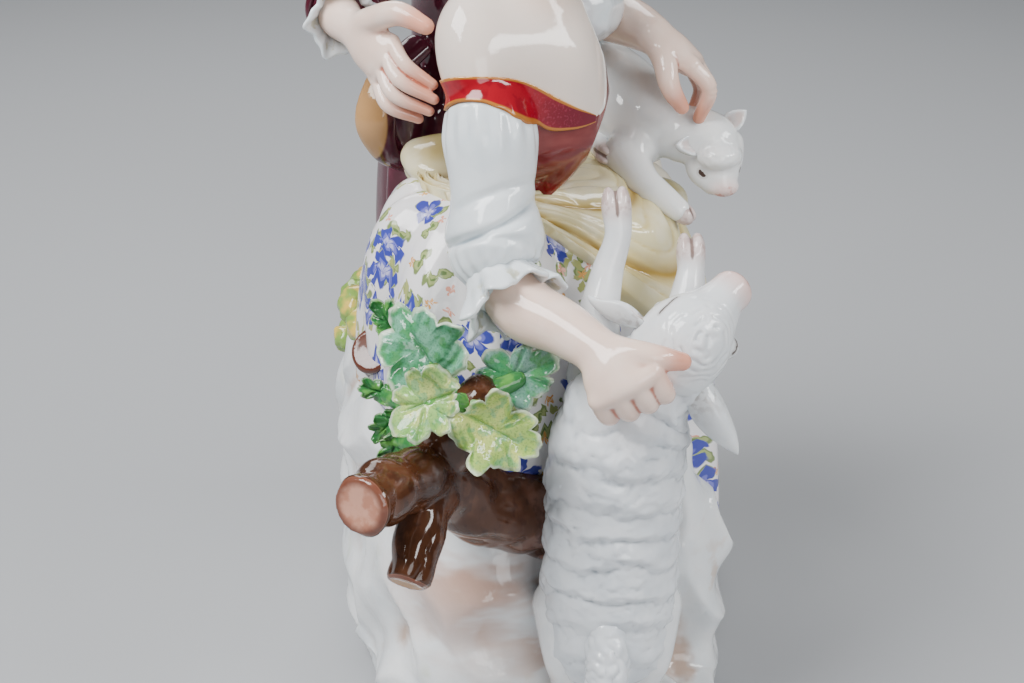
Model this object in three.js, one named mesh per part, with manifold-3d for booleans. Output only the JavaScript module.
// Porcelain figure group: a seated shepherdess and shepherd with a rearing lamb, a kid,
// a cut tree trunk and a rocky base, cast and fired as one piece.
// Millimetres, +Z up. The origin is under the group, on the plane it stands on.
// -X is the narrow end with the lamb, -Y is the front, where the feet are.
import * as THREE from 'three';
import { mergeVertices } from 'three/addons/utils/BufferGeometryUtils.js';
import Module from 'manifold-3d';

const wasm = await Module();
wasm.setup();

// Driving dimensions
const BASE_TOP = 15;
const SEAT_TOP = 73;
const SKIRT_TOP = 114;
const HEAD_HEIGHT = 27;
const LEAF_THICKNESS = 1.6;
const LEAF_LOBES = 7;
const APRON_ROLLS = 2.6;
const APRON_RISE = 0.6;
const APRON_ROLL_HEIGHT = 1.7;
const APRON_FRONT_ANGLE = 262;
const APRON_SPREAD = 52;
const FLEECE_BANDS = 16;
const UP = [0, 0, 1];
const GLAZE_COLOUR = 0xe8e6e0;

// The shepherdess, by her joints
const HER = {
  across: [0.707, -0.707, 0],
  facing: [-0.6, -0.8, 0],
  pelvis: [0, 6, 88],
  waist: [-8, 2, 113],
  ribs: [-11, -1.5, 122],
  bust: [-14, -6, 131],
  chest: [-13.5, -5.5, 141],
  shoulders: [-12.5, -5.5, 150],
  neck: [-12.5, -6, 154],
  throat: [-13.5, -7, 162],
  head: [-14, -7.5, 176],
  rightShoulder: [-22, 8, 149],
  rightWrist: [-56, -15.5, 98.3],
  leftShoulder: [-2, -13.5, 148],
  leftElbow: [28, -14.5, 141.6],
  leftWrist: [4, -28.6, 141],
};

// The shepherd, by his joints
const HIS = {
  across: [0.944, -0.33, 0],
  facing: [-0.5, -0.866, 0],
  pelvis: [42, 12, 92],
  waist: [41, 11, 113],
  chest: [40, 9, 140],
  shoulders: [39, 9, 160],
  neck: [38, 8, 167],
  throat: [36.5, 5.5, 175],
  head: [35, 3.5, 189.5],
  rightShoulder: [21, 15, 160],
  rightElbow: [14, 33.8, 147],
  rightWrist: [-9, 30.3, 145.6],
  leftShoulder: [57, 3, 160],
  leftElbow: [67, -4, 136],
  leftWrist: [59.5, -22.2, 114.6],
};

// Closed solid of a geometry whose shared vertices are merged
function solid(geometry) {
  const bare = geometry.toNonIndexed();
  bare.deleteAttribute('normal');
  bare.deleteAttribute('uv');
  const merged = mergeVertices(bare, 1e-4);
  return new wasm.Manifold(new wasm.Mesh({
    numProp: 3,
    vertProperties: Float32Array.from(merged.attributes.position.array),
    triVerts: Uint32Array.from(merged.index.array),
  }));
}

// Moves every vertex of a geometry to where place(vertex) puts it
function warp(geometry, place) {
  const position = geometry.attributes.position;
  const vertex = new THREE.Vector3();
  for (let i = 0; i < position.count; i += 1) {
    vertex.fromBufferAttribute(position, i);
    const moved = place(vertex);
    position.setXYZ(i, moved.x, moved.y, moved.z);
  }
  return geometry;
}

// Round-ended limb through points, with a radius, or a wide and a deep one, at each of them.
// Its section is round unless another is given, as a function of the unit circle's x and z
// and of how far along the limb it is.
function limb({
  points, radii, wide = UP, sides = 7, steps = points.length, dome = 1, caps = 1,
  section = (x, z) => [x, z],
}) {
  const route = new THREE.CatmullRomCurve3(points.map((p) => new THREE.Vector3(...p)));
  const sizes = radii.map((r) => [r].flat());
  const size = new THREE.CatmullRomCurve3(sizes.map(([a, b = a]) => new THREE.Vector3(a, b, 0)));
  const capsule = new THREE.CapsuleGeometry(1, 1, caps, sides, steps);
  return solid(warp(capsule, (v) => {
    const t = THREE.MathUtils.clamp(v.y + 0.5, 0, 1);
    const beyond = v.y + 0.5 - t;
    const tangent = route.getTangent(t);
    const across = new THREE.Vector3(...wide).projectOnPlane(tangent).normalize();
    const deep = across.clone().cross(tangent);
    const { x: a, y: b } = size.getPoint(t);
    const [x, z] = section(v.x, v.z, t);
    return route.getPoint(t)
      .addScaledVector(across, x * a)
      .addScaledVector(deep, z * b)
      .addScaledVector(tangent, beyond * dome * Math.min(a, b));
  }));
}

// Ball or egg, turned by degrees about X, Y and Z
function ball({ at, radii, turn = [0, 0, 0], sides = 10, rings = 6 }) {
  const [rx, ry = rx, rz = rx] = [radii].flat();
  const angles = turn.map(THREE.MathUtils.degToRad);
  const geometry = new THREE.SphereGeometry(1, sides, rings);
  geometry.applyMatrix4(new THREE.Matrix4().compose(
    new THREE.Vector3(...at),
    new THREE.Quaternion().setFromEuler(new THREE.Euler(...angles)),
    new THREE.Vector3(rx, ry, rz),
  ));
  return solid(geometry);
}

// Value at an angle in degrees, smooth between the angles that a table names
function around(table, angle) {
  const keys = Object.keys(table).map(Number).sort((a, b) => a - b);
  const turn = ((angle % 360) + 360) % 360;
  const next = keys.findIndex((key) => key > turn);
  const high = next < 0 ? keys[0] + 360 : keys[next];
  const low = next === 0 ? keys[keys.length - 1] - 360 : keys[(next < 0 ? keys.length : next) - 1];
  const from = table[((low % 360) + 360) % 360];
  const to = table[high % 360];
  const share = (turn - low) / (high - low);
  const ease = share * share * (3 - 2 * share);
  return from.map((value, i) => value + (to[i] - value) * ease);
}

// Cloth or rock that falls from a top ring to a hem. For each direction round the centre,
// outline gives the hem's distance, its height and how squarely it turns from flat to steep:
// near 0 is a ledge with a drop, 1 is a quarter ellipse and 2 is a straight slope.
function fall({ centre, top, neck, outline, foot = 0, sides = 32, steps = 8, relief = () => 0 }) {
  const cylinder = new THREE.CylinderGeometry(1, 1, 1, sides, steps);
  return solid(warp(cylinder, (v) => {
    const t = 0.5 - v.y;
    if (Math.hypot(v.x, v.z) < 0.5) {
      return new THREE.Vector3(centre[0], centre[1], t < 0.5 ? top : foot);
    }
    const angle = Math.atan2(-v.z, v.x);
    const [reach, hem, square] = around(outline, THREE.MathUtils.radToDeg(angle));
    const phi = (Math.PI / 2) * Math.min(1, Math.max(0, t));
    const out = Math.sin(phi) ** square;
    const down = Math.cos(phi) ** square;
    const bulge = relief(angle, t);
    const r = neck + (reach - neck) * out + bulge * Math.sin(phi);
    const z = hem + (top - hem) * down + bulge * Math.cos(phi);
    return new THREE.Vector3(centre[0] + r * Math.cos(angle), centre[1] + r * Math.sin(angle), z);
  }));
}

// Lobed leaf: a thin disc whose edge waves in and out, hollowed towards its middle
function leaf({ at, towards, facing, length, width }) {
  const along = new THREE.Vector3(...towards).normalize();
  const up = new THREE.Vector3(...facing).projectOnPlane(along).normalize();
  const side = along.clone().cross(up);
  const disc = new THREE.CylinderGeometry(1, 1, 1, 2 * LEAF_LOBES, 1);
  return solid(warp(disc, (v) => {
    const edge = Math.hypot(v.x, v.z);
    const angle = Math.atan2(v.x, v.z);
    const lobe = 0.92 + 0.13 * Math.cos(LEAF_LOBES * angle);
    const cup = 0.16 * length * edge * Math.abs(Math.sin(angle)) - 0.12 * length * edge * v.z * v.z;
    return new THREE.Vector3(...at)
      .addScaledVector(along, v.z * lobe * length / 2)
      .addScaledVector(side, -v.x * lobe * width / 2)
      .addScaledVector(up, v.y * LEAF_THICKNESS + cup);
  }));
}

// Point that lies between two
const between = (a, b, share) => a.map((value, i) => value + (b[i] - value) * share);

// Low rocky base with a flat underside, the rock that the pair sits on, a tall lump in front
// of it and cushions of moss at its back
function rocks() {
  const base = fall({
    centre: [6, -4],
    top: BASE_TOP,
    neck: 8,
    outline: {
      0: [72, 0, 0.3], 45: [56, 0, 0.3], 70: [46, 0, 0.3], 93: [42, 0, 0.3], 114: [41, 0, 0.3],
      134: [46, 0, 0.3], 155: [60, 0, 0.35], 180: [77, 0, 0.4], 205: [72, 0, 0.35], 231: [51, 0, 0.3],
      253: [44, 0, 0.3], 275: [44, 0, 0.3], 315: [58, 0, 0.3],
    },
    sides: 30,
    steps: 4,
    relief: (angle, t) => Math.sin(Math.PI * t)
      * (0.8 * Math.sin(5 * angle + 6 * t) + 0.5 * Math.sin(9 * angle)),
  });
  const seat = fall({
    centre: [20, 10],
    top: SEAT_TOP,
    neck: 6,
    outline: {
      0: [52, 6, 0.5], 45: [43, 6, 0.4], 75: [32, 6, 0.3], 100: [30, 6, 0.3], 125: [34, 6, 0.4],
      150: [44, 6, 0.75], 180: [67, 8, 0.85], 225: [50, 8, 0.9], 270: [42, 8, 0.8], 315: [48, 8, 0.8],
    },
    foot: 4,
    sides: 28,
    steps: 5,
    relief: (angle, t) => Math.sin(Math.PI * t)
      * (1.6 * Math.sin(6 * angle + 9 * t) + 1.1 * Math.sin(4 * angle - 8 * t)),
  });
  const frontLump = limb({
    points: [[-20, -30.5, 13], [-21, -32.6, 28], [-21, -32, 45], [-20, -29.5, 56]],
    radii: [[12, 12.4], [11, 13], [10, 12.2], [7.5, 9]], wide: [1, 0, 0], sides: 9,
  });
  const moss = [[22, 35, 74, 6.5], [34, 36, 71, 6], [12, 33, 74, 5.5], [28, 38, 64, 5], [48, 35, 68, 6.5]]
    .map(([x, y, z, r]) => ball({ at: [x, y, z], radii: [r, r * 0.7, r * 0.8], sides: 6, rings: 4 }));
  return [base, seat, frontLump, ...moss];
}

// Fallen trunk with two cut stubs, a knot of bark, and a third stub further back
function tree() {
  const fork = [-50, 14, 70];
  const trunk = limb({
    points: [[-28, -22, 44], [-37, -4, 54], [-44, 8, 61.5], fork],
    radii: [8.5, 8.4, 8, 6.6], sides: 9, dome: 0.5,
  });
  const stub = (points, radii) => limb({ points, radii, steps: 3, dome: 0.25 });
  return [
    trunk,
    stub([fork, [-62, 20.5, 74], [-74.6, 27.3, 76]], [6.4, 5.6, 5.3]),
    stub([fork, [-60, 16, 65], [-68.4, 19.6, 56.4]], [5.2, 4.2, 3.8]),
    stub([fork, [-51, 11, 80], [-51, 5, 87]], [6, 5, 4]),
    stub([[-6, 21, 66], [-15, 26, 78], [-21, 28.5, 82.5]], [5.5, 4.8, 4.4]),
  ];
}

// Leaves: where each one is, where its tip points, its length and its width
function foliage() {
  const facing = [-0.92, 0.05, 0.4];
  const leaves = [
    [[-50, 17, 96.5], [0.1, 0.5, 0.85], 17, 16],
    [[-61, 15.7, 90], [-0.1, 0.9, -0.35], 15, 14],
    [[-48, 0, 89], [0.05, -0.9, 0.35], 18, 14],
    [[-60, 3, 84], [-0.1, -0.85, -0.5], 18, 14],
    [[-37, 26, 81], [0, 0.95, 0.3], 10, 5],
    [[-42, 24, 76], [0, 0.7, -0.7], 8, 6],
    [[-45, 22.5, 73], [0, 0.4, -0.9], 8, 6],
    [[-33, 24, 94], [0.1, 0.5, 0.85], 9, 7],
  ];
  const twigs = [
    [[-50, 10, 85], [-50, 15, 92.5]], [[-53, 9, 86], [-60.5, 14.5, 89.5]],
    [[-50, 4, 87], [-49, -1, 89]], [[-53, 5, 84], [-58.5, 4, 84.5]],
    [[-49, 14, 80], [-38, 24, 80.5]], [[-48, 12, 88], [-34, 23, 91]], [[-51, 15, 75], [-44.5, 22, 74.5]],
  ];
  return [
    ...leaves.map(([at, towards, length, width]) => leaf({ at, towards, facing, length, width })),
    ...twigs.map(([from, to]) => limb({
      points: [from, between(from, to, 0.5), to], radii: [2.2, 2, 1.8], sides: 5, steps: 2,
    })),
  ];
}

// Skirt from her waist over the lap to the hem. The apron is its raised part over the lap
// and round the hips, and it lies in rolls.
function skirt() {
  const outline = {
    0: [24, 66, 0.8], 45: [26, 66, 0.7], 90: [28, 72, 0.5], 135: [31.5, 72, 0.75],
    180: [33, 65, 1.1], 215: [32, 60, 1], 240: [33, 45, 0.85], 262: [45, 20, 0.75],
    285: [48, 20, 0.68], 303: [50, 20, 0.65], 330: [34, 50, 0.6],
  };
  const relief = (angle, t) => {
    const turn = ((THREE.MathUtils.radToDeg(angle) % 360) + 360) % 360;
    const apronHem = 0.1 + 0.52 * Math.exp(-(((turn - APRON_FRONT_ANGLE) / APRON_SPREAD) ** 2));
    const roll = Math.abs(Math.sin(Math.PI * APRON_ROLLS * (t / apronHem) + 0.25 * Math.sin(3 * angle)));
    const folds = t * (1.5 * Math.cos(9 * angle + 3 * t) + 0.7 * Math.cos(13 * angle - 2 * t));
    return t < apronHem ? APRON_RISE + APRON_ROLL_HEIGHT * roll : folds;
  };
  const gown = fall({
    centre: [-8, 2], top: SKIRT_TOP, neck: 9, outline, foot: 30, sides: 42, steps: 9, relief,
  });
  const hip = ball({ at: [2, 14.5, 115], radii: [10, 8.5, 5.5], sides: 8, rings: 5 });
  const shoes = [[-2, -42], [12, -43]].map(([x, y]) => limb({
    points: [[x, y + 8, 21], [x, y, 20], [x - 1, y - 1.5, 18.5]], radii: [3.6, 3.2, 2.4],
    sides: 6, steps: 2,
  }));
  return [gown, hip, ...shoes];
}

// Section of four fingers side by side, for a limb of 16 sides
function fourFingers(x, z) {
  const reach = Math.hypot(x, z);
  const angle = Math.abs(Math.atan2(z, x));
  const place = 1 - (2 * angle) / Math.PI;
  const crown = 0.72 - 0.28 * Math.cos(4 * Math.PI * (place + 1));
  const rim = Math.abs(place) > 0.99 ? 0 : crown;
  return [place * reach, Math.sign(z) * rim * reach];
}

// Arm from a shoulder, through its sleeve, cuff and frill, to the back of the hand, then four
// fingers side by side through their knuckles, bends and tips, and the thumb. The points of
// the first and the last finger set how wide the fingers are together.
function arm({ points, radii, wrist, first, last, thumb, thick = 3.2, finger = 1.5 }) {
  const rows = first.map((point, i) => between(point, last[i], 0.5));
  const spans = first.map((point, i) => Math.hypot(...point.map((value, axis) => value - last[i][axis])));
  const widths = spans.map((span) => span / 2 + finger);
  const depths = [1.25, 1.15, 0.9].map((share) => share * finger);
  const wide = new THREE.Vector3(...last[0]).sub(new THREE.Vector3(...first[0])).normalize().toArray();
  return [
    limb({
      points: [...points, wrist, between(wrist, rows[0], 0.5), rows[0]],
      radii: [...radii, [3.6, 3.4], [widths[0] * 0.95, thick], [widths[0], thick * 0.8]],
      wide, sides: 9, steps: points.length + 2, dome: 0.6,
    }),
    limb({
      points: rows, radii: widths.map((width, i) => [width, depths[i]]),
      wide, sides: 16, steps: 2, section: fourFingers,
    }),
    limb({ points: thumb, radii: [2.5, 2, 1.5], sides: 5, steps: 2 }),
  ];
}

// Body of a seated figure from the pelvis to the crown, with nose, hair and a knot of hair.
// The face is plain and calm, and the head is drawn in units of half its height.
function figure({ points, radii, across, head, facing, knotHeight }) {
  const [fx, fy] = facing;
  const unit = HEAD_HEIGHT / 2;
  const place = (forward, up) => [
    head[0] + fx * forward * unit, head[1] + fy * forward * unit, head[2] + up * unit,
  ];
  const skull = [[0.1, -0.66, 0.52], [0.12, -0.3, 0.64], [0.06, 0.15, 0.72], [-0.02, 0.52, 0.62]];
  return [
    limb({
      points: [...points, ...skull.map(([forward, up]) => place(forward, up))],
      radii: [...radii, ...skull.map(([, , radius]) => radius * unit)],
      wide: across, sides: 11, steps: points.length + 3,
    }),
    limb({ points: [place(0.66, 0.1), place(0.84, -0.2)], radii: [1.2, 1.7], sides: 5, steps: 1 }),
    limb({ points: [place(0.3, -0.78), place(0.56, -0.7)], radii: [3.2, 2.6], sides: 6, steps: 1 }),
    limb({
      points: [place(-0.36, -0.35), place(-0.28, 0.1), place(-0.02, 0.42)],
      radii: [[0.54 * unit, 0.44 * unit], [0.84 * unit, 0.7 * unit], [0.76 * unit, 0.78 * unit]],
      wide: [-fy, fx, 0], sides: 9, steps: 3,
    }),
    ball({
      at: place(-0.95, knotHeight), radii: [0.34 * unit, 0.34 * unit, 0.42 * unit], sides: 6, rings: 4,
    }),
  ];
}

// Her body in its pointed bodice, her head, and her arms in gathered sleeves with frills
function shepherdess() {
  const body = figure({
    points: [HER.pelvis, HER.waist, HER.ribs, HER.bust, HER.chest, HER.shoulders, HER.neck, HER.throat],
    radii: [[14, 12], [11, 9], [12.3, 10], [14.6, 12.6], [15.6, 9.6], [16.5, 7.5], [8, 6.2], 5.2],
    across: HER.across, head: HER.head, facing: HER.facing, knotHeight: 0.4,
  });
  const point = limb({
    points: [[-20.5, -12.5, 129], [-18.5, -9.5, 121], [-17, -6.8, 116]], radii: [[6, 3.4], [4, 3], [2, 2]],
    wide: HER.across, sides: 6, steps: 2,
  });
  const rightArm = arm({
    points: [HER.rightShoulder, [-27.3, 5.2, 138.5], [-29.3, 4.2, 131.5], [-33, 3.5, 119],
      [-35.6, 3.2, 111.5], [-38.5, 2.6, 106], [-42.4, -0.2, 102.4], [-43.3, -1, 101.9], [-50, -9.5, 100]],
    radii: [7.2, 8.2, 8.7, 8.1, 9.5, 7, 9.6, 5.9, 5.2],
    wrist: HER.rightWrist, thick: 4.2, finger: 2,
    first: [[-61.5, -25.1, 96.5], [-60.5, -27.5, 91.8], [-55, -28.3, 90.2]],
    last: [[-61.5, -15.9, 91.1], [-59.5, -17.7, 86.9], [-54.5, -18.7, 86.1]],
    thumb: [[-59, -21, 99], [-60.2, -26.4, 98.6], [-58.6, -30.8, 97.2]],
  });
  const leftUpper = limb({
    points: [HER.leftShoulder, [8, -15, 146.2], [18, -14.5, 144], HER.leftElbow],
    radii: [7.2, 7.8, 7.8, 6.8], sides: 9, dome: 0.6,
  });
  const leftArm = arm({
    points: [HER.leftElbow, [24, -17.2, 141], [20.4, -20, 140.6], [18.8, -21, 140.8], [12, -25, 141.2]],
    radii: [6.2, 6.2, 8, 5.3, 4.9],
    wrist: HER.leftWrist,
    first: [[-1, -36, 136], [-1.6, -39.6, 131.8], [0, -38, 124.8]],
    last: [[9.8, -37.2, 132.9], [10.8, -39.3, 127.8], [11.8, -38, 123]],
    thumb: [[-0.6, -30.4, 137], [-3.6, -31.8, 132], [-3, -34.2, 128]],
  });
  return [...body, point, ...rightArm, leftUpper, ...leftArm];
}

// His body in coat and breeches, his legs and head, and his arms: the right hand at her
// waist, the left one on his thigh
function shepherd() {
  const body = figure({
    points: [HIS.pelvis, HIS.waist, HIS.chest, HIS.shoulders, HIS.neck, HIS.throat],
    radii: [[15, 13], [13.5, 11], [16.5, 12.5], [18.5, 9.5], [8.5, 7.5], 5.8],
    across: HIS.across, head: HIS.head, facing: HIS.facing, knotHeight: -0.5,
  });
  const coat = fall({
    centre: [41, 12], top: 120, neck: 12,
    outline: {
      0: [27, 78, 0.9], 45: [25, 70, 0.8], 90: [18, 70, 0.7], 135: [18, 80, 0.7], 165: [19, 94, 0.8],
      200: [15, 96, 0.9], 250: [15, 90, 0.9], 300: [18, 90, 0.9],
    },
    foot: 76, sides: 22, steps: 4,
    relief: (angle, t) => t * 1.2 * Math.cos(9 * angle),
  });
  const tail = limb({
    points: [[26, 20, 133], [19, 27, 127], [16, 29, 119], [19, 27.5, 112], [28, 22, 105]],
    radii: [[3.5, 2], [4, 2.6], [4.6, 2.8], [3.6, 2.4], [2.6, 2]], wide: [0.2, 1, 0], steps: 4,
  });
  const flap = ball({ at: [24, 23, 118.5], radii: [8.5, 2.4, 12.5], turn: [0, 0, -37] });
  const legs = [
    { hip: [35, 6, 92], knee: [30, -29, 97], ankle: [30, -36, 38], toe: [28, -46, 17] },
    { hip: [50, 4, 92], knee: [55, -27, 96], ankle: [54, -34, 36], toe: [56, -45, 17] },
  ].flatMap(({ hip, knee, ankle, toe }) => {
    const heel = [ankle[0], ankle[1] + 1, 18];
    return [
      limb({
        points: [hip, between(hip, knee, 0.55), knee, between(knee, ankle, 0.4), ankle, heel],
        radii: [9.5, 9, 7.2, 6, 3.8, 4], wide: [1, 0, 0], sides: 8, steps: 5,
      }),
      limb({
        points: [heel, between(heel, toe, 0.6), toe],
        radii: [[4, 4.4], [4, 4], [3.4, 2.6]], wide: [1, 0, 0], steps: 2,
      }),
    ];
  });
  const rightArm = arm({
    points: [HIS.rightShoulder, [16, 27, 154], HIS.rightElbow, [3, 34, 146.5], [-2, 33.5, 146.4],
      [-6.5, 32, 146], [-7.2, 31.6, 146]],
    radii: [8.2, 7.8, 7.4, 7.4, 5, 7.6, 3.8],
    wrist: HIS.rightWrist,
    first: [[-16.6, 22.9, 145], [-20.6, 20.4, 142], [-22, 15, 138.2]],
    last: [[-15, 25.8, 136.8], [-18.8, 24, 133.3], [-19, 18, 130.6]],
    thumb: [[-13.6, 26.9, 148.4], [-18.6, 21.2, 151], [-21.6, 16.2, 149.4]],
  });
  const leftArm = arm({
    points: [HIS.leftShoulder, [63, 0, 149], HIS.leftElbow, [63.5, -13, 126], [61.5, -17, 120.5],
      [59.5, -22, 115.5], [59.3, -22.6, 114.5]],
    radii: [8.2, 7.8, 7.4, 6.4, 5, 7.2, 3.8],
    wrist: HIS.leftWrist,
    first: [[55.6, -27.4, 108.2], [54, -31.4, 105], [53.2, -34, 99.8]],
    last: [[63.2, -26.8, 106.4], [63.6, -30.8, 103.2], [63.6, -32.8, 98.8]],
    thumb: [[54.6, -24.5, 110.4], [51.6, -27.6, 106.8], [50, -30.4, 104]],
  });
  return [...body, coat, tail, flap, ...legs, ...rightArm, ...leftArm];
}

// Section of the fleece: rows of tufts that swell and sink along the back up to the nape
function woolBands(x, z, t) {
  const nape = 0.62;
  const swell = t < nape ? 1 + 0.035 * Math.cos(FLEECE_BANDS / nape * Math.PI * t) : 1;
  return [x * swell, z * swell];
}

// Woolly lamb that stands on its hind legs, its head thrown back, seen from its back
function lamb() {
  const body = limb({
    points: [[-49, -19, 32], [-47, -19.2, 44], [-46, -19.7, 60], [-46, -20.5, 74], [-45, -24, 84],
      [-44.5, -29.5, 90], [-45.4, -34, 97.5], [-43, -37.8, 100.8], [-38.8, -41.8, 103]],
    radii: [[12.5, 10], [13.4, 11.5], [13.4, 11.5], [13.4, 11], [11.8, 9.6], 9, 8.6, 6.6, 4.6],
    wide: [0, 1, 0], sides: 11, steps: 20, caps: 2, section: woolBands,
  });
  const ears = [
    [[-48.5, -33.5, 89.5], [-50.6, -38, 82.5], [-52.2, -42.2, 75.8]],
    [[-45, -26.5, 98.4], [-42.8, -20.4, 100.5], [-40.7, -14.8, 102.3]],
  ].map((points) => limb({
    points, radii: [[2.6, 1.8], [3.4, 1.5], [1.5, 1]], wide: [0.2, 1, 0.6], sides: 6,
  }));
  const forelegs = [
    [[-40, -16, 86], [-36.5, -16.5, 96], [-33, -18.3, 104.5], [-31, -20.3, 112], [-29.5, -20, 117.5]],
    [[-38, -30, 85], [-34, -32.5, 92], [-30, -34.3, 99.4], [-28, -34.8, 103.4], [-26.5, -34.8, 106.5]],
  ].map((points) => limb({ points, radii: [5, 3.6, 2.9, 2.4, 3], steps: 4 }));
  const hindLegs = [-11, -27].map((y) => limb({
    points: [[-46, y, 38], [-50, y, 29], [-47.5, y, 20], [-49, y, 13]],
    radii: [6.5, 5, 3.2, 3.4], wide: [0, 1, 0],
  }));
  const tail = limb({
    points: [[-56, -18.5, 38], [-59, -18.5, 31], [-59, -18.3, 22]],
    radii: [4, 4.6, 3.2], wide: [0, 1, 0],
  });
  return [body, ...ears, ...forelegs, ...hindLegs, tail];
}

// Smooth kid that lies on her lap, its head turned down to the front
function kid() {
  const body = limb({
    points: [[24, -20, 125], [15, -24, 124], [8, -28, 121.5], [4.5, -34.5, 120.4], [1.8, -40.6, 118.8],
      [-0.6, -42.2, 115], [-2.6, -42.7, 111.4]],
    radii: [9.2, 9, 7.8, 6.2, 6.2, 4.8, 3.6], sides: 10, steps: 9,
  });
  const ears = [
    [[3, -43.6, 121.4], [3, -47.2, 124.9]], [[-0.6, -38.4, 118.6], [-2.9, -34.1, 119.9]],
  ].map(([root, tip]) => limb({ points: [root, tip], radii: [[2, 1.3], [0.9, 0.8]], sides: 5, steps: 1 }));
  const legs = [
    [[2, -23.4, 116.4], [-3, -26.8, 112.2], [-6.2, -31.6, 109.2], [-7.8, -35.2, 106.8]],
    [[20, -20, 118], [12, -19, 116], [6, -18.5, 116.5], [2, -19, 116.6]],
    [[13, -29, 115.5], [17, -29, 112.5], [19, -24, 111.5], [18.6, -19.4, 111.6]],
  ].map((points) => limb({ points, radii: [4.4, 3, 2.3, 2.5], sides: 6, steps: 3 }));
  return [body, ...ears, ...legs];
}

const pieces = [
  ...rocks(), ...tree(), ...foliage(), ...skirt(), ...shepherdess(), ...shepherd(), ...lamb(), ...kid(),
];
const group = pieces.reduce((joined, piece) => joined.add(piece));
const { vertProperties, triVerts } = group.getMesh();
const geometry = new THREE.BufferGeometry();
geometry.setAttribute('position', new THREE.BufferAttribute(vertProperties, 3));
geometry.setIndex(new THREE.BufferAttribute(triVerts, 1));
geometry.computeVertexNormals();

const glaze = new THREE.MeshStandardMaterial({ color: GLAZE_COLOUR, roughness: 0.12, metalness: 0 });
const figureGroup = new THREE.Mesh(geometry, glaze);
figureGroup.name = 'figure_group';
const root = new THREE.Group();
root.add(figureGroup);

export default root;
